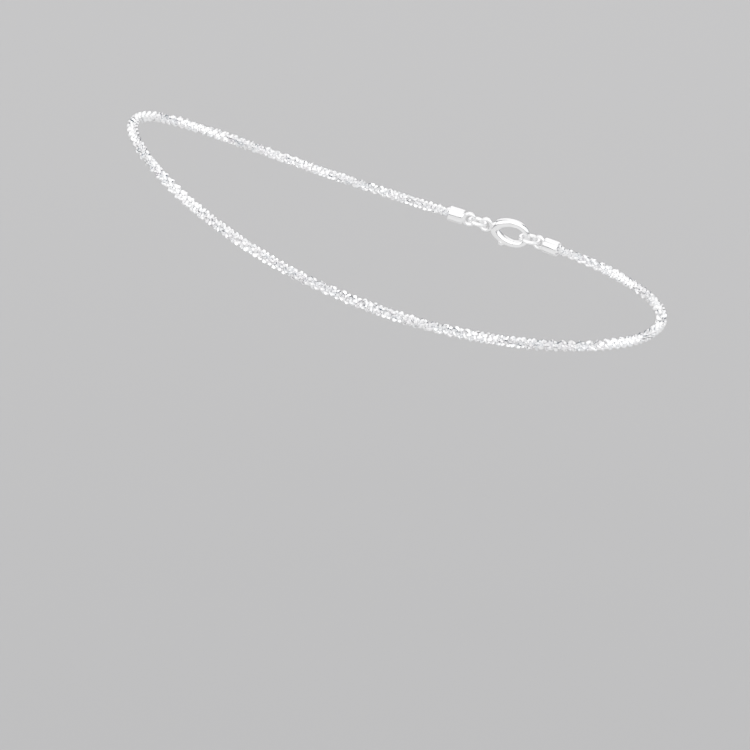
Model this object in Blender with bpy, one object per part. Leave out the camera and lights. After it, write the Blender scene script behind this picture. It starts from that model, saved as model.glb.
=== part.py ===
"""Worn sparkle-chain anklet, in metres, +Z up the leg and +X towards the heel.

The origin is the middle of the loop, where the ankle stands. The loop follows one closed curve that is worked
out from a few sizes: high over the instep, low behind the heel, and sagging at both sides of the ankle. The
clasp and its rings lie on the far side, each between two link points on that curve, where two wires bear on
each other.
"""

import math

import bmesh
import bpy
import numpy as np
from mathutils import Matrix, Vector

MM = 0.001

# The loop, measured on the chain's centreline
LOOP_LENGTH = 90.0 * MM  # from the instep to the heel, seen from above
LOOP_WIDTH = 63.0 * MM  # across the ankle
INSTEP_RISE = 16.8 * MM  # the instep's end above the middle, and the heel's end as far below it
SIDE_SAG = 6.0 * MM  # how far both sides hang below the straight line from instep to heel
TOE_SAG = 2.0 * MM  # how much more they hang in the instep's half than in the heel's
CLASP_PLACE = 0.835  # share of the way round, from the heel over the near side and the instep
ROUTE_STEPS = 2000

# The sparkle chain, as the tube that its links fill
CHAIN_DIAMETER = 1.9 * MM
CHAIN_STEP = 2.0  # chain diameters from one point of the tube to the next

GAP = 0.3 * MM  # clearance between pieces that touch on the real anklet

# Rings of round wire
RING_WIRE = 0.6 * MM
LINK_RING_BORE = 2.4 * MM  # the ring between a cap's eye and the clasp's eye
CATCH_RING_BORE = 2.9 * MM  # the ring that the claw catches
RING_SEGMENTS = 24
WIRE_SIDES = 8

# Eyes, of the end caps and of the clasp
EYE_WIRE = 0.6 * MM
EYE_PLAY = 0.25 * MM  # free room in an eye, beyond a ring's wire and the clearance round it

# End caps: a cup that the chain's end is soldered into, with an eye on its closed end
CAP_WALL = 0.3 * MM
CAP_BASE = 0.7 * MM
CAP_SEAT = 2.2 * MM  # how deep the chain's end goes in
CAP_ROUNDING = 0.25 * MM
CAP_SIDES = 20

# The clasp: a claw in one plain piece
CLAW_LENGTH = 7.6 * MM  # over the claw's loop, without its eye
CLAW_WIDTH = 5.2 * MM
CLAW_BODY = 1.7 * MM  # thickness at the eye's end
CLAW_TIP = 1.1 * MM  # thickness where the catch ring hangs
CLAW_TAPER = 0.16  # how much narrower the loop is at the eye's end than at the hook's
CLAW_SEGMENTS = 40
CLAW_SIDES = 10
KNOB_DIAMETER = 1.2 * MM
KNOB_PLACE = 0.36  # share of the claw's turn, from the eye's end to the hook's end

# Eyes: the bore, and the distance across from the middle of the wire to the middle
EYE_BORE = RING_WIRE + 2 * GAP + EYE_PLAY
EYE_SPAN = EYE_BORE + EYE_WIRE

# At a link point, from the middle of the ring's wire to the middle of the wire that it bears on
EYE_BEARING = (RING_WIRE + EYE_WIRE) / 2 + GAP
CLAW_BEARING = (RING_WIRE + CLAW_TIP) / 2 + GAP

# From one link point to the next
LINK_RING_REACH = LINK_RING_BORE + RING_WIRE - EYE_BEARING
CATCH_RING_REACH = CATCH_RING_BORE + RING_WIRE - (EYE_BEARING + CLAW_BEARING) / 2
CLASP_REACH = EYE_SPAN + CLAW_LENGTH - (EYE_BEARING + CLAW_TIP + CLAW_BEARING) / 2

# From an end cap's link point to the back and the floor of its cup
CAP_BACK = EYE_SPAN - EYE_BEARING / 2
CAP_FLOOR = CAP_BACK + CAP_BASE

SILVER = (0.86, 0.87, 0.89, 1.0)
CHAIN_ROUGHNESS = 0.16
FITTING_ROUGHNESS = 0.1
SMOOTH_BELOW = math.radians(40)


def clear_scene():
    """Removes what the scene holds."""
    for existing in list(bpy.data.objects):
        bpy.data.objects.remove(existing)


def silver(name, roughness):
    """A bright silver Principled material."""
    material = bpy.data.materials.new(name)
    material.use_nodes = True
    shader = material.node_tree.nodes["Principled BSDF"]
    shader.inputs["Base Color"].default_value = SILVER
    shader.inputs["Metallic"].default_value = 1.0
    shader.inputs["Roughness"].default_value = roughness
    return material


class Route:
    """The closed curve that the anklet follows, read by the length from the heel over the near side."""

    def __init__(self):
        turn = np.linspace(0.0, 2 * math.pi, ROUTE_STEPS + 1)
        along = np.cos(turn)
        across = np.sin(turn)
        height = -INSTEP_RISE * along - (SIDE_SAG - TOE_SAG * along) * across**2
        self.points = np.stack([LOOP_LENGTH / 2 * along, -LOOP_WIDTH / 2 * across, height], axis=1)
        steps = np.linalg.norm(np.diff(self.points, axis=0), axis=1)
        self.lengths = np.concatenate([[0.0], np.cumsum(steps)])
        self.total = float(self.lengths[-1])

    def point(self, length):
        """The point this far along the curve."""
        inside = length % self.total
        return Vector([float(np.interp(inside, self.lengths, column)) for column in self.points.T])

    def further(self, length, distance):
        """The length at which the curve has come this straight distance on, or back if it is negative."""
        start = self.point(length)
        reach = length + distance
        for _ in range(8):
            reach += math.copysign(abs(distance) - (self.point(reach) - start).length, distance)
        return reach


def frame_at(start, end, share):
    """A frame on the line from start to end: +X along it, +Y up the skin and +Z away from the leg."""
    forward = (end - start).normalized()
    place = start.lerp(end, share)
    outward = Vector((place.x / LOOP_LENGTH**2, place.y / LOOP_WIDTH**2, 0.0))
    outward = (outward - forward * outward.dot(forward)).normalized()
    turn = Matrix((forward, outward.cross(forward), outward)).transposed()
    return Matrix.Translation(place) @ turn.to_4x4()


def new_object(name, bm, material):
    """An object that holds the bmesh, shaded smooth."""
    bmesh.ops.recalc_face_normals(bm, faces=bm.faces)
    mesh = bpy.data.meshes.new(name)
    bm.to_mesh(mesh)
    bm.free()
    mesh.shade_smooth()
    mesh.set_sharp_from_angle(angle=SMOOTH_BELOW)
    mesh.materials.append(material)
    made = bpy.data.objects.new(name, mesh)
    bpy.context.scene.collection.objects.link(made)
    return made


def unite(base, name, bm, material):
    """Solders a shape, given in the base's own frame, to the base."""
    tool = new_object(name, bm, material)
    tool.parent = base
    tool.hide_render = True
    tool.display_type = "WIRE"
    union = base.modifiers.new(name, "BOOLEAN")
    union.operation = "UNION"
    union.solver = "EXACT"
    union.object = tool


def wire_loop(path, radii, sides):
    """A closed loop of round wire along points in the XY plane, with the wire's radius at each."""
    bm = bmesh.new()
    count = len(path)
    sections = []
    for index, (centre, radius) in enumerate(zip(path, radii)):
        forward = (path[(index + 1) % count] - path[index - 1]).normalized()
        side = Vector((forward.y, -forward.x, 0.0))
        section = []
        for step in range(sides):
            turn = 2 * math.pi * (step + 0.5) / sides
            offset = side * math.cos(turn) + Vector((0.0, 0.0, math.sin(turn)))
            section.append(bm.verts.new(centre + offset * radius))
        sections.append(section)
    for section, following in zip(sections, sections[1:] + sections[:1]):
        for step in range(sides):
            after = (step + 1) % sides
            bm.faces.new((section[step], section[after], following[after], following[step]))
    return bm


def round_ring(middle_x, bore, wire):
    """A round ring of wire in the XY plane, with its middle on the X axis."""
    radius = (bore + wire) / 2
    path = []
    for step in range(RING_SEGMENTS):
        turn = 2 * math.pi * step / RING_SEGMENTS
        path.append(Vector((middle_x + radius * math.cos(turn), radius * math.sin(turn), 0.0)))
    return wire_loop(path, [wire / 2] * RING_SEGMENTS, WIRE_SIDES)


def turned(profile, sides):
    """A solid turned about X from (x, radius) points that start and end on the axis."""
    bm = bmesh.new()
    points = [bm.verts.new((x, radius, 0.0)) for x, radius in profile]
    edges = [bm.edges.new(pair) for pair in zip(points, points[1:])]
    bmesh.ops.spin(
        bm,
        geom=points + edges,
        cent=(0.0, 0.0, 0.0),
        axis=(1.0, 0.0, 0.0),
        angle=2 * math.pi,
        steps=sides,
        use_merge=True,
    )
    bmesh.ops.remove_doubles(bm, verts=bm.verts, dist=1e-7)
    return bm


def end_cap(name, link, mouth, material):
    """A cup with an eye, from its link point towards its mouth."""
    bore = CHAIN_DIAMETER / 2 + GAP
    outer = bore + CAP_WALL
    profile = [
        (CAP_BACK, 0.0),
        (CAP_BACK, outer - CAP_ROUNDING),
        (CAP_BACK + CAP_ROUNDING, outer),
        (CAP_FLOOR + CAP_SEAT, outer),
        (CAP_FLOOR + CAP_SEAT, bore),
        (CAP_FLOOR, bore),
        (CAP_FLOOR, 0.0),
    ]
    cap = new_object(name, turned(profile, CAP_SIDES), material)
    cap.matrix_world = frame_at(link, mouth, share=0.0)
    eye = round_ring((EYE_SPAN - EYE_BEARING) / 2, EYE_BORE, EYE_WIRE)
    unite(cap, name + "_eye", eye, material)


def jump_ring(name, start, end, bore, first_bearing, last_bearing, material):
    """A round ring between two link points, standing across the eyes."""
    lean = (last_bearing - first_bearing) / 4
    ring = new_object(name, round_ring(lean, bore, RING_WIRE), material)
    ring.matrix_world = frame_at(start, end, share=0.5) @ Matrix.Rotation(math.pi / 2, 4, "X")


def claw_path(start, end):
    """The claw's centreline in the XY plane and the wire's radius at each point, from the eye's end round."""
    path = []
    radii = []
    half_width = (CLAW_WIDTH - (CLAW_BODY + CLAW_TIP) / 2) / 2
    for step in range(CLAW_SEGMENTS):
        turn = 2 * math.pi * step / CLAW_SEGMENTS
        nearness = (1 + math.cos(turn)) / 2
        width = half_width * math.sin(turn) * (1 - CLAW_TAPER * math.cos(turn))
        path.append(Vector((end + (start - end) * nearness, width, 0.0)))
        radii.append((CLAW_TIP + (CLAW_BODY - CLAW_TIP) * nearness) / 2)
    return path, radii


def clasp(name, start, end, material):
    """The claw, its thumb knob and its eye, from the eye's link point to the hook's."""
    eye_middle = (EYE_SPAN - EYE_BEARING) / 2
    claw_start = eye_middle + (EYE_SPAN + CLAW_BODY) / 2
    claw_end = CLASP_REACH + CLAW_BEARING / 2
    path, radii = claw_path(claw_start, claw_end)
    made = new_object(name, wire_loop(path, radii, CLAW_SIDES), material)
    made.matrix_world = frame_at(start, end, share=0.0)
    unite(made, name + "_eye", round_ring(eye_middle, EYE_BORE, EYE_WIRE), material)
    at_knob = round(KNOB_PLACE * CLAW_SEGMENTS / 2)
    knob = bmesh.new()
    edge = path[at_knob] + Vector((0.0, radii[at_knob], 0.0))
    bmesh.ops.create_icosphere(
        knob, subdivisions=2, radius=KNOB_DIAMETER / 2, matrix=Matrix.Translation(edge)
    )
    unite(made, name + "_knob", knob, material)


def chain_tube(name, route, start, end, material):
    """The chain's outer form: a tube along the route from one length to the other."""
    count = math.ceil((end - start) / (CHAIN_STEP * CHAIN_DIAMETER)) + 1
    curve = bpy.data.curves.new(name, "CURVE")
    curve.dimensions = "3D"
    spline = curve.splines.new("POLY")
    spline.points.add(count - 1)
    for index, point in enumerate(spline.points):
        point.co = (*route.point(start + (end - start) * index / (count - 1)), 1.0)
    curve.bevel_depth = CHAIN_DIAMETER / 2
    curve.bevel_resolution = 2
    curve.use_fill_caps = True
    curve.materials.append(material)
    made = bpy.data.objects.new(name, curve)
    bpy.context.scene.collection.objects.link(made)


def main():
    """Places the clasp and its rings on the far side, with the chain round the rest between the end caps."""
    clear_scene()
    chain_silver = silver("chain_silver", CHAIN_ROUGHNESS)
    fitting_silver = silver("fitting_silver", FITTING_ROUGHNESS)
    route = Route()

    eye_link = route.further(CLASP_PLACE * route.total, -CLASP_REACH / 2)
    hook_link = route.further(eye_link, CLASP_REACH)
    instep_link = route.further(eye_link, -LINK_RING_REACH)
    heel_link = route.further(hook_link, CATCH_RING_REACH)
    instep_mouth = route.further(instep_link, -(CAP_FLOOR + CAP_SEAT))
    heel_mouth = route.further(heel_link, CAP_FLOOR + CAP_SEAT)
    chain_start = route.further(heel_link, CAP_FLOOR + GAP) - route.total
    chain_end = route.further(instep_link, -(CAP_FLOOR + GAP))

    chain_tube("sparkle_chain", route, chain_start, chain_end, chain_silver)
    end_cap("instep_end_cap", route.point(instep_link), route.point(instep_mouth), fitting_silver)
    end_cap("heel_end_cap", route.point(heel_link), route.point(heel_mouth), fitting_silver)
    jump_ring(
        "link_ring",
        route.point(instep_link),
        route.point(eye_link),
        LINK_RING_BORE,
        EYE_BEARING,
        EYE_BEARING,
        fitting_silver,
    )
    jump_ring(
        "catch_ring",
        route.point(hook_link),
        route.point(heel_link),
        CATCH_RING_BORE,
        CLAW_BEARING,
        EYE_BEARING,
        fitting_silver,
    )
    clasp("clasp", route.point(eye_link), route.point(hook_link), fitting_silver)


main()
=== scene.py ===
"""Dresses the worn sparkle-chain anklet and sets it in a pale studio.

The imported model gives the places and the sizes. Here the chain is made of its real interlocking links,
each cut to small bright flats, and the caps, rings and clasp that close the loop are made fine and polished.
"""

import logging
import math
from dataclasses import dataclass, field
from enum import Enum

import bmesh
import bpy
import numpy as np
from mathutils import Matrix, Vector


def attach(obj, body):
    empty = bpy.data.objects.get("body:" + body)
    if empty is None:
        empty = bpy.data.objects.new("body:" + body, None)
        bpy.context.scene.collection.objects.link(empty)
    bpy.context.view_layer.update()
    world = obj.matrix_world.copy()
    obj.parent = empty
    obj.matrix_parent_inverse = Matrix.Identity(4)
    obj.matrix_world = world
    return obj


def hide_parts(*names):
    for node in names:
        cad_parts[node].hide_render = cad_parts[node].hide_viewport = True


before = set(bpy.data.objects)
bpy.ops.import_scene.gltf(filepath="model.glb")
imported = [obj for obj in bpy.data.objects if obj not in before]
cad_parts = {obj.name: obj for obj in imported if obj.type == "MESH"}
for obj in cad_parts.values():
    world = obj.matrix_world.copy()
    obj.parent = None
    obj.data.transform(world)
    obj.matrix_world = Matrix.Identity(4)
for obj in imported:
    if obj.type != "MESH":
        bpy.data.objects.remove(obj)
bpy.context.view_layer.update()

LOG = logging.getLogger("anklet")
MM = 0.001
BODY = "root"

# Points closer than WELD are one point, and edges shorter than SLIVER are taken out of a soldered shape
WELD = 0.0005 * MM
SLIVER = 0.002 * MM

# Stands a circle of the XY plane up in the XZ plane
UPRIGHT = Matrix.Rotation(math.pi / 2, 4, "X")

Colour = tuple[float, float, float, float]

# A point on a cut's plane, and the plane's normal, outwards
Cut = tuple[Vector, Vector]


class Slot(Enum):
    """The record's material slots."""

    CHAIN = "silver_chain"
    FITTINGS = "silver_fittings"


class Shading(Enum):
    """How a piece's faces are shaded."""

    CUT = "flat facets"
    POLISHED = "smooth, with sharp edges where faces meet steeply"


def new_material(name: str) -> tuple[bpy.types.Material, bpy.types.ShaderNodeTree, bpy.types.ShaderNode]:
    """Starts a material.

    Args:
        name: The material's name.

    Returns:
        The material, its node tree and its shader.
    """
    made = bpy.data.materials.new(name)
    made.use_nodes = True
    return made, made.node_tree, made.node_tree.nodes["Principled BSDF"]


def carried(tree: bpy.types.ShaderNodeTree, name: str) -> bpy.types.NodeSocket:
    """Reads a number that the piece's mesh carries.

    Args:
        tree: The material's nodes.
        name: The attribute's name.

    Returns:
        The number.
    """
    node = tree.nodes.new("ShaderNodeAttribute")
    node.attribute_name = name
    return node.outputs["Fac"]


def eased(
    tree: bpy.types.ShaderNodeTree, value: bpy.types.NodeSocket, start: float, end: float
) -> bpy.types.NodeSocket:
    """Rises softly from 0 to 1 while a value goes from one number to another.

    Args:
        tree: The nodes.
        value: The value.
        start: Where the rise starts.
        end: Where it ends.

    Returns:
        The share, from 0 to 1.
    """
    node = tree.nodes.new("ShaderNodeMapRange")
    node.interpolation_type = "SMOOTHSTEP"
    node.inputs["From Min"].default_value = start
    node.inputs["From Max"].default_value = end
    tree.links.new(value, node.inputs["Value"])
    return node.outputs["Result"]


def between(
    tree: bpy.types.ShaderNodeTree, share: bpy.types.NodeSocket, low: float, high: float
) -> bpy.types.NodeSocket:
    """Goes evenly from one number to another with a share.

    Args:
        tree: The nodes.
        share: The share, from 0 to 1.
        low: The number at 0.
        high: The number at 1.

    Returns:
        The number.
    """
    node = tree.nodes.new("ShaderNodeMapRange")
    node.inputs["To Min"].default_value = low
    node.inputs["To Max"].default_value = high
    tree.links.new(share, node.inputs["Value"])
    return node.outputs["Result"]


def mixed(
    tree: bpy.types.ShaderNodeTree,
    share: bpy.types.NodeSocket,
    first: Colour,
    second: Colour | bpy.types.NodeSocket,
) -> bpy.types.NodeSocket:
    """Mixes two colours.

    Args:
        tree: The nodes.
        share: The second colour's share.
        first: The first colour.
        second: The second colour, or the socket that gives it.

    Returns:
        The mixed colour.
    """
    node = tree.nodes.new("ShaderNodeMix")
    node.data_type = "RGBA"
    node.inputs["A"].default_value = first
    tree.links.new(share, node.inputs["Factor"])
    if isinstance(second, bpy.types.NodeSocket):
        tree.links.new(second, node.inputs["B"])
    else:
        node.inputs["B"].default_value = second
    return node.outputs["Result"]


def noise(
    tree: bpy.types.ShaderNodeTree, place: bpy.types.NodeSocket, size: float, detail: float
) -> bpy.types.NodeSocket:
    """Makes a random pattern.

    Args:
        tree: The nodes.
        place: The place that the pattern is read at.
        size: The size of its largest patches.
        detail: How many times finer patterns are laid over it.

    Returns:
        The pattern, about 0.5 on the whole.
    """
    node = tree.nodes.new("ShaderNodeTexNoise")
    node.inputs["Scale"].default_value = 1.0 / size
    node.inputs["Detail"].default_value = detail
    tree.links.new(place, node.inputs["Vector"])
    return node.outputs["Fac"]


@dataclass(frozen=True)
class CutSilver:
    """Diamond-cut silver: mirror-bright flats, polished wire between them, and painted shade that darkens
    the recesses.

    The piece carries three attributes: flat, 1 on the cut faces and on a link's outer side; depth, from 0 on
    the chain's line to 1 at its outer edge, which sets the painted shade;
    and tint, a number from 0 to 1 that is the same all over a link.
    """

    name: str = "cut_silver"
    bright: Colour = (0.975, 0.975, 0.98, 1.0)
    cool: Colour = (0.90, 0.945, 1.0, 1.0)
    warm: Colour = (0.975, 0.93, 0.98, 1.0)
    # Painted shade: deep is the colour that the recesses near the chain's line are darkened to. It fades out
    # between the two depths below.
    deep: Colour = (0.36, 0.37, 0.40, 1.0)
    flat_roughness: float = 0.06
    wire_roughness: float = 0.13
    painted_shade_below: float = 0.20
    unshaded_above: float = 0.42

    def material(self) -> bpy.types.Material:
        """Makes the finish's material.

        Returns:
            The new material.
        """
        made, tree, shader = new_material(self.name)
        shader.inputs["Metallic"].default_value = 1.0
        shades = tree.nodes.new("ShaderNodeValToRGB")
        shades.color_ramp.elements[0].color = self.cool
        shades.color_ramp.elements[1].color = self.warm
        middle = shades.color_ramp.elements.new(0.5)
        middle.color = self.bright
        tree.links.new(carried(tree, "tint"), shades.inputs["Fac"])
        # Painted shade: the colour darkens towards deep near the chain's line, where the links would shade
        # each other.
        outward = eased(tree, carried(tree, "depth"), self.painted_shade_below, self.unshaded_above)
        colour = mixed(tree, outward, self.deep, shades.outputs["Color"])
        tree.links.new(colour, shader.inputs["Base Color"])
        roughness = between(tree, carried(tree, "flat"), self.wire_roughness, self.flat_roughness)
        tree.links.new(roughness, shader.inputs["Roughness"])
        return made


@dataclass(frozen=True)
class PolishedSilver:
    """Polished silver with the faint haze and fine scratches of handling."""

    name: str = "polished_silver"
    bright: Colour = (0.95, 0.952, 0.96, 1.0)
    hazed: Colour = (0.86, 0.865, 0.885, 1.0)
    roughness: float = 0.09
    haze_roughness: float = 0.24
    haze_size: float = 1.1 * MM
    haze_detail: float = 3.0
    haze_above: float = 0.48
    full_haze_above: float = 0.78
    scratch_size: float = 0.16 * MM
    scratch_detail: float = 4.0
    scratch_stretch: float = 6.0
    scratch_height: float = 0.0012 * MM

    def material(self) -> bpy.types.Material:
        """Makes the finish's material.

        Returns:
            The new material.
        """
        made, tree, shader = new_material(self.name)
        shader.inputs["Metallic"].default_value = 1.0
        place = tree.nodes.new("ShaderNodeTexCoord").outputs["Object"]
        clouds = noise(tree, place, self.haze_size, self.haze_detail)
        haze = eased(tree, clouds, self.haze_above, self.full_haze_above)
        tree.links.new(mixed(tree, haze, self.bright, self.hazed), shader.inputs["Base Color"])
        roughness = between(tree, haze, self.roughness, self.haze_roughness)
        tree.links.new(roughness, shader.inputs["Roughness"])

        along = tree.nodes.new("ShaderNodeMapping")
        along.inputs["Scale"].default_value = (1.0 / self.scratch_stretch, 1.0, 1.0)
        tree.links.new(place, along.inputs["Vector"])
        bump = tree.nodes.new("ShaderNodeBump")
        bump.inputs["Strength"].default_value = 1.0
        bump.inputs["Distance"].default_value = self.scratch_height
        scratches = noise(tree, along.outputs["Vector"], self.scratch_size, self.scratch_detail)
        tree.links.new(scratches, bump.inputs["Height"])
        tree.links.new(bump.outputs["Normal"], shader.inputs["Normal"])
        return made


@dataclass(frozen=True)
class MattePaper:
    """The studio's plain matte floor, which the strong soft light makes pale."""

    name: str = "matte_paper"
    colour: Colour = (0.0275, 0.0275, 0.0278, 1.0)
    shade: Colour = (0.0259, 0.0259, 0.0265, 1.0)
    roughness: float = 0.9
    cloud_size: float = 400 * MM
    cloud_detail: float = 2.0

    def material(self) -> bpy.types.Material:
        """Makes the finish's material.

        Returns:
            The new material.
        """
        made, tree, shader = new_material(self.name)
        shader.inputs["Roughness"].default_value = self.roughness
        place = tree.nodes.new("ShaderNodeTexCoord").outputs["Object"]
        clouds = noise(tree, place, self.cloud_size, self.cloud_detail)
        tree.links.new(mixed(tree, clouds, self.colour, self.shade), shader.inputs["Base Color"])
        return made


@dataclass
class Loop:
    """The closed curve that the anklet follows, read by the length from the heel over the near side."""

    length: float = 90.0 * MM
    width: float = 63.0 * MM
    instep_rise: float = 16.8 * MM
    side_sag: float = 6.0 * MM
    toe_sag: float = 2.0 * MM
    steps: int = 4000
    tries: int = 8
    near: float = 0.1 * MM
    points: np.ndarray = field(init=False, repr=False)
    lengths: np.ndarray = field(init=False, repr=False)

    def __post_init__(self) -> None:
        """Works out the curve's points and the length up to each."""
        turn = np.linspace(0.0, 2 * math.pi, self.steps + 1)
        along = np.cos(turn)
        across = np.sin(turn)
        height = -self.instep_rise * along - (self.side_sag - self.toe_sag * along) * across**2
        self.points = np.stack([self.length / 2 * along, -self.width / 2 * across, height], axis=1)
        steps = np.linalg.norm(np.diff(self.points, axis=0), axis=1)
        self.lengths = np.concatenate([[0.0], np.cumsum(steps)])

    @property
    def total(self) -> float:
        """The whole length round."""
        return float(self.lengths[-1])

    def point(self, length: float) -> Vector:
        """Gives the point this far along the curve.

        Args:
            length: The length from the heel; it may run past the whole turn, or be negative.

        Returns:
            The point.
        """
        inside = length % self.total
        return Vector([float(np.interp(inside, self.lengths, column)) for column in self.points.T])

    def further(self, length: float, distance: float) -> float:
        """Steps along the curve by a straight distance.

        Args:
            length: The length at which the step starts.
            distance: The straight distance to go, negative to go back.

        Returns:
            The length at which the step ends.
        """
        start = self.point(length)
        reach = length + distance
        for _ in range(self.tries):
            reach += math.copysign(abs(distance) - (self.point(reach) - start).length, distance)
        return reach

    def frame_between(self, start: Vector, end: Vector, share: float) -> Matrix:
        """Gives a frame on the line between two points: +X along it, +Y up the skin, +Z away from the leg.

        Args:
            start: Where the line starts.
            end: Where it ends.
            share: The frame's place, from 0 at the start to 1 at the end.

        Returns:
            The frame.
        """
        forward = (end - start).normalized()
        place = start.lerp(end, share)
        outward = Vector((place.x / self.length**2, place.y / self.width**2, 0.0))
        outward = (outward - forward * outward.dot(forward)).normalized()
        turn = Matrix((forward, outward.cross(forward), outward)).transposed()
        return Matrix.Translation(place) @ turn.to_4x4()

    def frame(self, length: float) -> Matrix:
        """Gives the frame this far along the curve, as frame_between does.

        Args:
            length: The length from the heel.

        Returns:
            The frame.
        """
        return self.frame_between(self.point(length - self.near), self.point(length + self.near), 0.5)


def torus(
    middle: Vector, radius: float, wire: float, steps: int, sides: int, turned: float = 0.0
) -> bmesh.types.BMesh:
    """Makes a closed ring of round wire in the XY plane.

    Args:
        middle: The ring's middle.
        radius: From the middle to the middle of the wire.
        wire: The wire's diameter.
        steps: The number of sections round the ring.
        sides: The number of sides of a section.
        turned: How far round from +X the first section is.

    Returns:
        The ring's shape.
    """
    bm = bmesh.new()
    spoke = Matrix.Rotation(turned, 4, "Z") @ Matrix.Translation((radius, 0.0, 0.0))
    section = Matrix.Translation(middle) @ spoke @ UPRIGHT
    bmesh.ops.create_circle(bm, segments=sides, radius=wire / 2, matrix=section)
    bmesh.ops.spin(
        bm,
        geom=bm.verts[:] + bm.edges[:],
        cent=middle,
        axis=(0.0, 0.0, 1.0),
        angle=2 * math.pi,
        steps=steps,
        use_merge=True,
    )
    bmesh.ops.remove_doubles(bm, verts=bm.verts, dist=WELD)
    bmesh.ops.recalc_face_normals(bm, faces=bm.faces)
    return bm


def united(base: bmesh.types.BMesh, other: bmesh.types.BMesh) -> bmesh.types.BMesh:
    """Solders two closed shapes into one closed shape without slivers.

    Args:
        base: The first shape. It is freed.
        other: The second shape. It is freed.

    Returns:
        The one shape.
    """
    holders = []
    for bm in (base, other):
        mesh = bpy.data.meshes.new("solder")
        bm.to_mesh(mesh)
        bm.free()
        holder = bpy.data.objects.new("solder", mesh)
        bpy.context.scene.collection.objects.link(holder)
        holders.append(holder)
    union = holders[0].modifiers.new("union", "BOOLEAN")
    union.operation = "UNION"
    union.solver = "EXACT"
    union.object = holders[1]
    made = bmesh.new()
    made.from_object(holders[0], bpy.context.evaluated_depsgraph_get())
    bmesh.ops.triangulate(made, faces=made.faces)
    bmesh.ops.dissolve_degenerate(made, dist=SLIVER, edges=made.edges)
    bmesh.ops.triangulate(made, faces=made.faces)
    for holder in holders:
        mesh = holder.data
        bpy.data.objects.remove(holder)
        bpy.data.meshes.remove(mesh)
    return made


@dataclass
class Fittings:
    """The sizes that the caps, rings and clasp share, and the link points between them.

    A link point is where two pieces bear on each other: it lies half way between the middles of their wires.
    """

    loop: Loop
    clasp_place: float = 0.835
    clearance: float = 0.3 * MM
    ring_wire: float = 0.6 * MM
    link_ring_bore: float = 2.4 * MM
    catch_ring_bore: float = 2.9 * MM
    eye_wire: float = 0.6 * MM
    eye_play: float = 0.25 * MM
    eye_steps: int = 48
    eye_sides: int = 20
    cap_base: float = 0.7 * MM
    cap_seat: float = 2.2 * MM
    claw_length: float = 7.6 * MM
    claw_tip: float = 1.1 * MM

    @property
    def eye_bore(self) -> float:
        """The bore of an eye."""
        return self.ring_wire + 2 * self.clearance + self.eye_play

    @property
    def eye_span(self) -> float:
        """The distance across an eye, from the middle of its wire to the middle."""
        return self.eye_bore + self.eye_wire

    @property
    def eye_bearing(self) -> float:
        """The distance between the middles of a ring's wire and an eye's where they bear on each other."""
        return (self.ring_wire + self.eye_wire) / 2 + self.clearance

    @property
    def claw_bearing(self) -> float:
        """The same distance between a ring's wire and the claw."""
        return (self.ring_wire + self.claw_tip) / 2 + self.clearance

    @property
    def eye_middle(self) -> float:
        """The distance from an eye's link point to its middle."""
        return (self.eye_span - self.eye_bearing) / 2

    @property
    def link_ring_reach(self) -> float:
        """The distance between the link ring's two link points."""
        return self.link_ring_bore + self.ring_wire - self.eye_bearing

    @property
    def catch_ring_reach(self) -> float:
        """The distance between the catch ring's two link points."""
        return self.catch_ring_bore + self.ring_wire - (self.eye_bearing + self.claw_bearing) / 2

    @property
    def clasp_reach(self) -> float:
        """The distance between the clasp's two link points."""
        bearings = (self.eye_bearing + self.claw_tip + self.claw_bearing) / 2
        return self.eye_span + self.claw_length - bearings

    @property
    def cap_back(self) -> float:
        """The distance from a cap's link point to the back of its cup."""
        return self.eye_span - self.eye_bearing / 2

    @property
    def cap_floor(self) -> float:
        """The distance from a cap's link point to the floor of its cup."""
        return self.cap_back + self.cap_base

    @property
    def cap_mouth(self) -> float:
        """The distance from a cap's link point to the mouth of its cup."""
        return self.cap_floor + self.cap_seat

    @property
    def eye_link(self) -> float:
        """The length at which the link ring bears on the clasp's eye."""
        return self.loop.further(self.clasp_place * self.loop.total, -self.clasp_reach / 2)

    @property
    def hook_link(self) -> float:
        """The length at which the catch ring bears on the claw."""
        return self.loop.further(self.eye_link, self.clasp_reach)

    @property
    def instep_link(self) -> float:
        """The length at which the link ring bears on the instep cap's eye."""
        return self.loop.further(self.eye_link, -self.link_ring_reach)

    @property
    def heel_link(self) -> float:
        """The length at which the catch ring bears on the heel cap's eye."""
        return self.loop.further(self.hook_link, self.catch_ring_reach)

    @property
    def chain_start(self) -> float:
        """The length at which the chain leaves the heel cap's floor, on the near side of the heel."""
        return self.loop.further(self.heel_link, self.cap_floor) - self.loop.total

    @property
    def chain_end(self) -> float:
        """The length at which the chain meets the instep cap's floor."""
        return self.loop.further(self.instep_link, -self.cap_floor)

    def eye(self) -> bmesh.types.BMesh:
        """Makes an eye in the XY plane, with its link point at the origin."""
        middle = Vector((self.eye_middle, 0.0, 0.0))
        return torus(middle, self.eye_span / 2, self.eye_wire, self.eye_steps, self.eye_sides)


@dataclass
class Piece:
    """What every piece of the anklet has: a name, the node that it stands for, its slot and its shading."""

    name: str
    node: str
    slot: Slot
    shading: Shading
    sharp_above: float = math.radians(40)

    def finish(self, bm: bmesh.types.BMesh, material: bpy.types.Material) -> bpy.types.Object:
        """Makes the shape an object that shows in place of its node.

        Args:
            bm: The shape, where it lies on the anklet. It is freed.
            material: The piece's material.

        Returns:
            The new object.
        """
        bmesh.ops.recalc_face_normals(bm, faces=bm.faces)
        mesh = bpy.data.meshes.new(self.name)
        bm.to_mesh(mesh)
        bm.free()
        if self.shading is Shading.POLISHED:
            mesh.shade_smooth()
            mesh.set_sharp_from_angle(angle=self.sharp_above)
        mesh.materials.append(material)
        made = bpy.data.objects.new(self.name, mesh)
        bpy.context.scene.collection.objects.link(made)
        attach(made, BODY)
        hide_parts(self.node)
        LOG.info("%s: %d faces, in place of %s", self.name, len(mesh.polygons), self.node)
        return made


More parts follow.
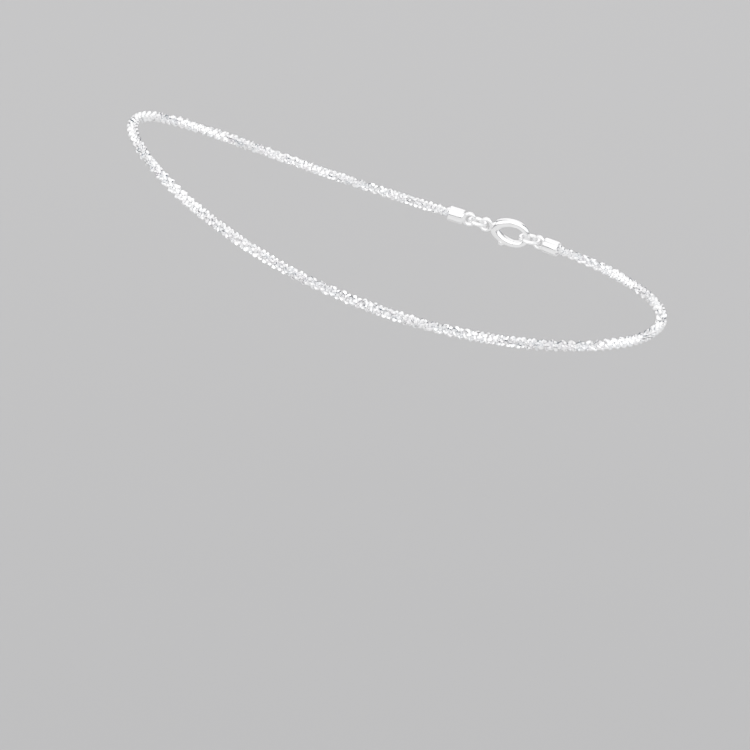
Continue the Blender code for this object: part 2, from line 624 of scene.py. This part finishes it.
@dataclass
class SparkleChain(Piece):
    """The chain: short oval links, each turned a quarter turn and a little more, and cut to bright flats.

    A link lies in a plane that holds the chain's line. It stands off that line to one side, and the link
    after next stands off to the other, so that they nest side by side while each holds its neighbours'
    wires. Every link is cut flat at both its ends and at the four corners beside them, each cut leaning a
    little its own way, and one shallow long cut winds slowly round the whole chain.
    """

    name: str = "diamond_cut_chain"
    node: str = "sparkle_chain"
    slot: Slot = Slot.CHAIN
    shading: Shading = Shading.CUT
    diameter: float = 1.9 * MM
    pitch: float = 0.44 * MM
    half_length: float = 0.44 * MM
    half_width: float = 0.765 * MM
    squareness: float = 0.7
    wire: float = 0.36 * MM
    end_fill: float = 0.15 * MM
    end_fill_power: int = 3
    stand_off: float = 0.20 * MM
    link_steps: int = 12
    wire_sides: int = 6
    outer_side_above: float = 0.9
    twist: float = math.radians(1.7)
    twist_sway: float = math.radians(14.0)
    sway_length: float = 61.0 * MM
    roll_jitter: float = math.radians(2.0)
    end_cut: float = 0.05 * MM
    end_lean: float = math.radians(14.0)
    corner_cut: float = 0.12 * MM
    corner_slant: float = math.radians(40.0)
    corner_lean: float = math.radians(7.0)
    long_cut: float = 0.10 * MM
    long_cut_length: float = 52.0 * MM
    long_cut_lean: float = math.radians(11.0)
    seed: int = 26

    def link(self) -> bmesh.types.BMesh:
        """Makes one uncut link round the origin: its length along X and its width along Y.

        Returns:
            The link's shape.
        """
        first = math.pi / self.link_steps
        bm = torus(Vector(), self.half_width, self.wire, self.link_steps, self.wire_sides, first)
        for vert in bm.verts:
            turn = math.atan2(vert.co.y, vert.co.x)
            cosine, sine = math.cos(turn), math.sin(turn)
            inward = max(0.0, self.half_width - vert.co.xy.length) / (self.wire / 2)
            reach = self.half_length * math.copysign(abs(cosine) ** self.squareness, cosine)
            vert.co.x += reach - self.half_width * cosine
            vert.co.y -= self.end_fill * inward * sine * abs(sine) ** self.end_fill_power
        bmesh.ops.recalc_face_normals(bm, faces=bm.faces)
        return bm

    def corners(self, link: bmesh.types.BMesh) -> list[Cut]:
        """Finds the four corner cuts beside a link's two ends.

        Args:
            link: The link.

        Returns:
            A point on each cut's plane, and the plane's normal, outwards.
        """
        found = []
        for end_side in (1.0, -1.0):
            for slant in (self.corner_slant, -self.corner_slant):
                normal = Vector((math.sin(slant), end_side * math.cos(slant), 0.0))
                reach = max(vert.co.dot(normal) for vert in link.verts) - self.corner_cut
                found.append((normal * reach, normal))
        return found

    def leaned(self, normal: Vector, most: float, draw: np.random.Generator) -> Vector:
        """Tilts a normal a little at random.

        Args:
            normal: The normal.
            most: About the most that it tilts.
            draw: The source of the tilt.

        Returns:
            The tilted normal.
        """
        lean = Vector(draw.normal(0.0, math.tan(most) / 2, 3))
        return (normal + lean - normal * lean.dot(normal)).normalized()

    def cuts(self, corners: list[Cut], long_way: Vector, draw: np.random.Generator) -> list[Cut]:
        """Gives all the cuts of one link, each leaning its own way.

        Args:
            corners: The corner cuts.
            long_way: The way from the chain's line to the long cut.
            draw: The source of the small leans.

        Returns:
            A point on each cut's plane, and the plane's normal, outwards.
        """
        end = self.half_width + self.wire / 2 - self.end_cut
        made = []
        for end_side in (1.0, -1.0):
            normal = Vector((0.0, end_side, 0.0))
            made.append((normal * end, self.leaned(normal, self.end_lean, draw)))
        long_point = Vector((0.0, 0.0, -self.stand_off)) + long_way * (self.diameter / 2 - self.long_cut)
        made.append((long_point, self.leaned(long_way, self.long_cut_lean, draw)))
        for point, normal in corners:
            made.append((point, self.leaned(normal, self.corner_lean, draw)))
        return made

    def cut_away(self, link: bmesh.types.BMesh, point: Vector, normal: Vector) -> list[bmesh.types.BMFace]:
        """Cuts away what is beyond a plane and closes the cut.

        Args:
            link: The link.
            point: A point on the plane.
            normal: The plane's normal, outwards.

        Returns:
            The new flats.
        """
        geom = link.verts[:] + link.edges[:] + link.faces[:]
        sliced = bmesh.ops.bisect_plane(
            link, geom=geom, dist=WELD, plane_co=point, plane_no=normal, clear_outer=True
        )
        rim = [edge for edge in sliced["geom_cut"] if isinstance(edge, bmesh.types.BMEdge)]
        return bmesh.ops.holes_fill(link, edges=rim, sides=0)["faces"] if rim else []

    def cut_link(
        self, pattern: bmesh.types.BMesh, corners: list[Cut], long_way: Vector, draw: np.random.Generator
    ) -> bmesh.types.BMesh:
        """Makes one finished link.

        Args:
            pattern: The uncut link.
            corners: Its corner cuts.
            long_way: The way from the chain's line to the long cut.
            draw: The source of the small leans and of the tint.

        Returns:
            The link, with the attributes that its finish reads: flat, depth and tint.
        """
        link = pattern.copy()
        flats = link.faces.layers.float.new("flat")
        for face in link.faces:
            face[flats] = 1.0 if face.normal.z > self.outer_side_above else 0.0
        for point, normal in self.cuts(corners, long_way, draw):
            for face in self.cut_away(link, point, normal):
                face[flats] = 1.0
        # depth is the distance from the chain's line. The finish paints shade where it is small.
        depth = link.verts.layers.float.new("depth")
        tint = link.verts.layers.float.new("tint")
        line = Vector((0.0, 0.0, -self.stand_off))
        shade = float(draw.random())
        for vert in link.verts:
            vert[depth] = (vert.co - line).yz.length / (self.diameter / 2)
            vert[tint] = shade
        return link

    def build(self, fittings: Fittings, material: bpy.types.Material) -> bpy.types.Object:
        """Makes the chain, from the heel cap round to the instep cap.

        Args:
            fittings: The fittings that the chain runs between.
            material: The chain's material.

        Returns:
            The new object.
        """
        draw = np.random.default_rng(self.seed)
        reach = self.half_length + self.wire / 2
        start = fittings.chain_start + reach
        end = fittings.chain_end - reach
        count = round((end - start) / self.pitch)
        stand = Matrix.Translation((0.0, 0.0, self.stand_off))
        pattern = self.link()
        corners = self.corners(pattern)
        chain = bmesh.new()
        carrier = bpy.data.meshes.new("carried_link")
        for number in range(count + 1):
            length = start + (end - start) * number / count
            sway = self.twist_sway * math.sin(2 * math.pi * length / self.sway_length)
            roll = number * (math.pi / 2 + self.twist) + sway + draw.normal(0.0, self.roll_jitter / 2)
            long_turn = 2 * math.pi * length / self.long_cut_length - roll
            long_way = Vector((0.0, math.cos(long_turn), math.sin(long_turn)))
            link = self.cut_link(pattern, corners, long_way, draw)
            place = fittings.loop.frame(length) @ Matrix.Rotation(roll, 4, "X") @ stand
            bmesh.ops.transform(link, matrix=place, verts=link.verts)
            link.to_mesh(carrier)
            link.free()
            chain.from_mesh(carrier)
        pattern.free()
        bpy.data.meshes.remove(carrier)
        LOG.info("chain: %d links", count + 1)
        return self.finish(chain, material)


@dataclass
class EndCap(Piece):
    """A turned cup that the chain's end is soldered into, with an eye on its back."""

    slot: Slot = Slot.FITTINGS
    shading: Shading = Shading.POLISHED
    bore: float = 2.0 * MM
    wall: float = 0.32 * MM
    lip: float = 0.12 * MM
    shoulder: float = 0.34 * MM
    turn_steps: int = 56
    round_steps: int = 4

    def cup(self, fittings: Fittings) -> bmesh.types.BMesh:
        """Turns the cup about X, from the back of its floor to its mouth.

        Args:
            fittings: The shared sizes.

        Returns:
            The cup's shape.
        """
        bore = self.bore / 2
        outer = bore + self.wall
        bm = bmesh.new()
        profile = [
            (fittings.cap_back, 0.0),
            (fittings.cap_back, outer),
            (fittings.cap_mouth, outer),
            (fittings.cap_mouth, bore),
            (fittings.cap_floor, bore),
            (fittings.cap_floor, 0.0),
        ]
        corners = [bm.verts.new((x, radius, 0.0)) for x, radius in profile]
        for pair in zip(corners, corners[1:]):
            bm.edges.new(pair)
        for rounded, width in ((corners[1], self.shoulder), (corners[2], self.lip), (corners[3], self.lip)):
            bmesh.ops.bevel(
                bm,
                geom=[rounded],
                offset=width,
                offset_type="OFFSET",
                segments=self.round_steps,
                profile=0.5,
                affect="VERTICES",
                material=-1,
            )
        bmesh.ops.spin(
            bm,
            geom=bm.verts[:] + bm.edges[:],
            cent=(0.0, 0.0, 0.0),
            axis=(1.0, 0.0, 0.0),
            angle=2 * math.pi,
            steps=self.turn_steps,
            use_merge=True,
        )
        bmesh.ops.remove_doubles(bm, verts=bm.verts, dist=WELD)
        bmesh.ops.recalc_face_normals(bm, faces=bm.faces)
        return bm

    def build(
        self, fittings: Fittings, link: float, towards: float, material: bpy.types.Material
    ) -> bpy.types.Object:
        """Makes the cap.

        Args:
            fittings: The shared sizes.
            link: The length at which a ring bears on the cap's eye.
            towards: 1 where the cup opens further along the loop, and -1 where it opens back.
            material: The cap's material.

        Returns:
            The new object.
        """
        bm = united(self.cup(fittings), fittings.eye())
        loop = fittings.loop
        mouth = loop.further(link, towards * fittings.cap_mouth)
        place = loop.frame_between(loop.point(link), loop.point(mouth), 0.0)
        bmesh.ops.transform(bm, matrix=place, verts=bm.verts)
        return self.finish(bm, material)


@dataclass
class JumpRing(Piece):
    """A ring of round wire with the fine seam where it was closed."""

    slot: Slot = Slot.FITTINGS
    shading: Shading = Shading.POLISHED
    bore: float = 2.4 * MM
    seam: float = 0.03 * MM
    seam_place: float = math.radians(62)
    steps: int = 56
    sides: int = 20

    def build(
        self,
        fittings: Fittings,
        links: tuple[float, float],
        bearings: tuple[float, float],
        material: bpy.types.Material,
    ) -> bpy.types.Object:
        """Makes the ring between two link points, standing across the eyes.

        Args:
            fittings: The shared sizes.
            links: The lengths of its two link points.
            bearings: The distance between the wires' middles at each.
            material: The ring's material.

        Returns:
            The new object.
        """
        radius = (self.bore + fittings.ring_wire) / 2
        bm = bmesh.new()
        section = Matrix.Translation((radius, 0.0, 0.0)) @ UPRIGHT
        bmesh.ops.create_circle(
            bm, cap_ends=True, segments=self.sides, radius=fittings.ring_wire / 2, matrix=section
        )
        bmesh.ops.spin(
            bm,
            geom=bm.verts[:] + bm.edges[:] + bm.faces[:],
            cent=(0.0, 0.0, 0.0),
            axis=(0.0, 0.0, 1.0),
            angle=2 * math.pi - self.seam / radius,
            steps=self.steps,
        )
        bmesh.ops.recalc_face_normals(bm, faces=bm.faces)
        loop = fittings.loop
        offset = Matrix.Translation(((bearings[1] - bearings[0]) / 4, 0.0, 0.0))
        place = loop.frame_between(loop.point(links[0]), loop.point(links[1]), 0.5)
        seam_turn = Matrix.Rotation(self.seam_place, 4, "Z")
        bmesh.ops.transform(bm, matrix=place @ UPRIGHT @ offset @ seam_turn, verts=bm.verts)
        return self.finish(bm, material)


@dataclass
class Clasp(Piece):
    """A claw clasp in one piece: a tapered claw, its thumb knob and its eye.

    The claw is a closed loop of wire in the XY plane. A place on it is given by its turn: 0 at the thick end
    beside the eye, and half a turn at the thin end that holds the catch ring.
    """

    name: str = "claw_clasp"
    node: str = "clasp"
    slot: Slot = Slot.FITTINGS
    shading: Shading = Shading.POLISHED
    width: float = 5.2 * MM
    body: float = 1.7 * MM
    taper: float = 0.16
    knob: float = 1.2 * MM
    knob_place: float = 0.36
    knob_segments: int = 32
    knob_rings: int = 20
    groove: float = 0.05 * MM
    groove_places: tuple[float, float] = (0.30, 0.47)
    groove_width: float = 0.004
    steps: int = 160
    sides: int = 28

    def ends(self, fittings: Fittings) -> tuple[float, float]:
        """Gives where along X the claw's wire has its middle, at the eye's end and at the hook's end."""
        start = fittings.eye_middle + (fittings.eye_span + self.body) / 2
        return start, fittings.clasp_reach + fittings.claw_bearing / 2

    def half_width(self, fittings: Fittings) -> float:
        """Gives half the width of the claw's loop, from the middle of its wire to the middle."""
        return (self.width - (self.body + fittings.claw_tip) / 2) / 2

    def path(self, fittings: Fittings, turn: float) -> Vector:
        """Gives the middle of the claw's wire.

        Args:
            fittings: The shared sizes.
            turn: The place on the claw.

        Returns:
            The point.
        """
        start, end = self.ends(fittings)
        across = self.half_width(fittings) * math.sin(turn) * (1 - self.taper * math.cos(turn))
        return Vector(((start + end) / 2 - (end - start) / 2 * math.cos(turn), across, 0.0))

    def half_wire(self, fittings: Fittings, turn: float) -> float:
        """Gives half the thickness of the claw's wire, without its grooves.

        Args:
            fittings: The shared sizes.
            turn: The place on the claw.

        Returns:
            Half the thickness.
        """
        tip = fittings.claw_tip
        return (tip + (self.body - tip) * (1 + math.cos(turn)) / 2) / 2

    def groove_depth(self, turn: float) -> float:
        """Gives how deep the wire is cut by the fine lines beside the lever.

        Args:
            turn: The place on the claw.

        Returns:
            The depth.
        """
        share = turn / (2 * math.pi) % 1.0
        cuts = [math.exp(-(((share - place) / self.groove_width) ** 2)) for place in self.groove_places]
        return self.groove * sum(cuts)

    def claw(self, fittings: Fittings) -> bmesh.types.BMesh:
        """Makes the claw, thick at the eye's end and thin at the hook's end.

        Args:
            fittings: The shared sizes.

        Returns:
            The claw's shape.
        """
        start, end = self.ends(fittings)
        reach = (end - start) / 2
        half_width = self.half_width(fittings)
        bm = torus(Vector(), reach, fittings.claw_tip, self.steps, self.sides)
        for vert in bm.verts:
            turn = math.atan2(vert.co.y, -vert.co.x)
            slope_across = half_width * (math.cos(turn) - self.taper * math.cos(2 * turn))
            slope = Vector((reach * math.sin(turn), slope_across, 0.0)).normalized()
            side = Vector((-slope.y, slope.x, 0.0))
            section = Vector((vert.co.xy.length - reach, vert.co.z)) / (fittings.claw_tip / 2)
            radius = self.half_wire(fittings, turn) - self.groove_depth(turn)
            outward = side * section.x + Vector((0.0, 0.0, section.y))
            vert.co = self.path(fittings, turn) + outward * radius
        bmesh.ops.recalc_face_normals(bm, faces=bm.faces)
        return bm

    def thumb_knob(self, fittings: Fittings) -> bmesh.types.BMesh:
        """Makes the round knob on the claw's edge.

        Args:
            fittings: The shared sizes.

        Returns:
            The knob's shape.
        """
        turn = math.pi * self.knob_place
        lift = Vector((0.0, self.half_wire(fittings, turn), 0.0))
        bm = bmesh.new()
        bmesh.ops.create_uvsphere(
            bm,
            u_segments=self.knob_segments,
            v_segments=self.knob_rings,
            radius=self.knob / 2,
            matrix=Matrix.Translation(self.path(fittings, turn) + lift),
        )
        return bm

    def build(self, fittings: Fittings, material: bpy.types.Material) -> bpy.types.Object:
        """Makes the clasp.

        Args:
            fittings: The shared sizes.
            material: The clasp's material.

        Returns:
            The new object.
        """
        bm = united(united(self.claw(fittings), fittings.eye()), self.thumb_knob(fittings))
        loop = fittings.loop
        place = loop.frame_between(loop.point(fittings.eye_link), loop.point(fittings.hook_link), 0.0)
        bmesh.ops.transform(bm, matrix=place, verts=bm.verts)
        return self.finish(bm, material)


@dataclass(frozen=True)
class SkyPanel:
    """A round, soft-edged panel of light, far off in the sky.

    It lights the floor evenly, and the silver mirrors it. Its light is even up to the inner angle from its
    middle, and fades out to the outer one; both are in degrees.
    """

    towards: tuple[float, float, float]
    inner: float
    outer: float
    strength: float
    colour: Colour = (1.0, 1.0, 1.0, 1.0)

    def add(self, tree: bpy.types.ShaderNodeTree, direction: bpy.types.NodeSocket) -> bpy.types.NodeSocket:
        """Adds the panel's nodes.

        Args:
            tree: The world's nodes.
            direction: The direction that is looked in.

        Returns:
            The panel's light in that direction.
        """
        facing = tree.nodes.new("ShaderNodeVectorMath")
        facing.operation = "DOT_PRODUCT"
        facing.inputs[1].default_value = Vector(self.towards).normalized()
        tree.links.new(direction, facing.inputs[0])
        edge, middle = math.cos(math.radians(self.outer)), math.cos(math.radians(self.inner))
        share = eased(tree, facing.outputs["Value"], edge, middle)
        light = tree.nodes.new("ShaderNodeVectorMath")
        light.operation = "SCALE"
        light.inputs[0].default_value = [part * self.strength for part in self.colour[:3]]
        tree.links.new(share, light.inputs["Scale"])
        return light.outputs["Vector"]


@dataclass(frozen=True)
class LightStrip:
    """A flat panel of light just over the floor. The camera doesn't see it, but the silver mirrors it."""

    name: str
    across: float
    width: float
    watts: float
    length: float = 500 * MM

    def build(self, height: float) -> None:
        """Lays the strip, facing up.

        Args:
            height: The strip's height.
        """
        light = bpy.data.lights.new(self.name, "AREA")
        light.shape = "RECTANGLE"
        light.size = self.length
        light.size_y = self.width
        light.energy = self.watts
        made = bpy.data.objects.new(self.name, light)
        made.location = (0.0, self.across, height)
        made.rotation_euler = (math.pi, 0.0, 0.0)
        made.visible_camera = False
        bpy.context.scene.collection.objects.link(made)


@dataclass
class Studio:
    """The pale floor, the lights and the camera."""

    floor_height: float = -85.0 * MM
    floor_radius: float = 1600 * MM
    floor_steps: int = 96
    cove_radius: float = 500 * MM
    cove_steps: int = 16
    cove_weld: float = 0.01 * MM
    wall_height: float = 120 * MM
    camera_rise: float = math.radians(18.0)
    camera_distance: float = 364 * MM
    camera_aim: Vector = field(default_factory=lambda: Vector((-4.51, 0.0, -28.64)) * MM)
    camera_near: float = 10 * MM
    focal_length: float = 102.25
    sensor: float = 36.0
    sky: Colour = (0.20, 0.21, 0.24, 1.0)
    panels: tuple[SkyPanel, ...] = (
        SkyPanel((-0.50, -0.55, 0.67), 20, 28, 30.0),
        SkyPanel((0.15, 0.15, 0.98), 18, 26, 22.5),
        SkyPanel((0.85, -0.35, 0.40), 14, 20, 24.0, (0.88, 0.94, 1.0, 1.0)),
        SkyPanel((0.10, 0.90, 0.45), 20, 27, 24.0, (1.0, 0.95, 1.0, 1.0)),
        SkyPanel((-0.90, 0.25, 0.35), 15, 22, 24.0),
        SkyPanel((0.10, -0.62, 0.78), 13, 19, 45.0),
        SkyPanel((0.0, -0.90, 0.43), 17, 24, 51.0),
        SkyPanel((0.55, -0.70, 0.45), 11, 17, 24.0),
        SkyPanel((0.45, -0.60, 0.66), 5, 8, 105.0),
        SkyPanel((-0.55, -0.80, 0.25), 5, 8, 105.0),
        SkyPanel((-0.15, -0.50, 0.85), 5, 8, 105.0),
    )
    strips: tuple[LightStrip, ...] = (
        LightStrip("light_strip_1", -170 * MM, 100 * MM, 0.4),
        LightStrip("light_strip_2", -20 * MM, 120 * MM, 0.5),
        LightStrip("light_strip_3", 140 * MM, 100 * MM, 0.4),
    )
    strip_lift: float = 2 * MM

    def cove(self) -> None:
        """Makes the round floor, whose edge curves up into a low wall."""
        bm = bmesh.new()
        centre = bm.verts.new((0.0, 0.0, self.floor_height))
        edge = bm.verts.new((self.floor_radius, 0.0, self.floor_height))
        bm.edges.new((centre, edge))
        bmesh.ops.spin(
            bm,
            geom=[edge],
            cent=(self.floor_radius, 0.0, self.floor_height + self.cove_radius),
            axis=(0.0, -1.0, 0.0),
            angle=math.pi / 2,
            steps=self.cove_steps,
        )
        top = max(bm.verts, key=lambda vert: vert.co.z)
        rim = bm.verts.new(top.co + Vector((0.0, 0.0, self.wall_height)))
        bm.edges.new((top, rim))
        bmesh.ops.spin(
            bm,
            geom=bm.verts[:] + bm.edges[:],
            cent=(0.0, 0.0, 0.0),
            axis=(0.0, 0.0, 1.0),
            angle=2 * math.pi,
            steps=self.floor_steps,
            use_merge=True,
        )
        bmesh.ops.remove_doubles(bm, verts=bm.verts, dist=self.cove_weld)
        bmesh.ops.recalc_face_normals(bm, faces=bm.faces)
        bmesh.ops.reverse_faces(bm, faces=bm.faces)
        mesh = bpy.data.meshes.new("studio_floor")
        bm.to_mesh(mesh)
        bm.free()
        mesh.shade_smooth()
        mesh.materials.append(MattePaper().material())
        floor = bpy.data.objects.new("studio_floor", mesh)
        bpy.context.scene.collection.objects.link(floor)

    def lights(self) -> None:
        """Lights the sky's panels and the strips under the anklet."""
        world = bpy.data.worlds.new("studio_sky")
        world.use_nodes = True
        tree = world.node_tree
        direction = tree.nodes.new("ShaderNodeTexCoord").outputs["Generated"]
        light = None
        for panel in self.panels:
            total = tree.nodes.new("ShaderNodeVectorMath")
            tree.links.new(panel.add(tree, direction), total.inputs[1])
            if light is None:
                total.inputs[0].default_value = self.sky[:3]
            else:
                tree.links.new(light, total.inputs[0])
            light = total.outputs["Vector"]
        tree.links.new(light, tree.nodes["Background"].inputs["Color"])
        bpy.context.scene.world = world
        for strip in self.strips:
            strip.build(self.floor_height + self.strip_lift)

    def camera(self) -> None:
        """Sets the camera at the photograph's angle."""
        lens = bpy.data.cameras.new("camera")
        lens.sensor_width = self.sensor
        lens.lens = self.focal_length
        lens.clip_start = self.camera_near
        made = bpy.data.objects.new("camera", lens)
        back = Vector((0.0, -math.cos(self.camera_rise), math.sin(self.camera_rise)))
        made.location = back * self.camera_distance
        made.rotation_euler = (made.location - self.camera_aim).to_track_quat("Z", "Y").to_euler()
        bpy.context.scene.collection.objects.link(made)
        bpy.context.scene.camera = made

    def build(self) -> None:
        """Makes the whole studio."""
        self.camera()
        self.cove()
        self.lights()
        LOG.info("studio: floor %.0f mm below the loop's middle", -self.floor_height / MM)


def main() -> None:
    """Builds the studio and the anklet."""
    logging.basicConfig(level=logging.INFO, format="%(name)s: %(message)s")
    Studio().build()
    fittings = Fittings(Loop())
    SparkleChain().build(fittings, CutSilver().material())
    polished = PolishedSilver().material()
    EndCap("instep_cup", "instep_end_cap").build(fittings, fittings.instep_link, -1.0, polished)
    EndCap("heel_cup", "heel_end_cap").build(fittings, fittings.heel_link, 1.0, polished)
    JumpRing("link_jump_ring", "link_ring", bore=fittings.link_ring_bore).build(
        fittings,
        (fittings.instep_link, fittings.eye_link),
        (fittings.eye_bearing, fittings.eye_bearing),
        polished,
    )
    JumpRing("catch_jump_ring", "catch_ring", bore=fittings.catch_ring_bore).build(
        fittings,
        (fittings.hook_link, fittings.heel_link),
        (fittings.claw_bearing, fittings.eye_bearing),
        polished,
    )
    Clasp().build(fittings, polished)


if __name__ == "__main__":
    main()
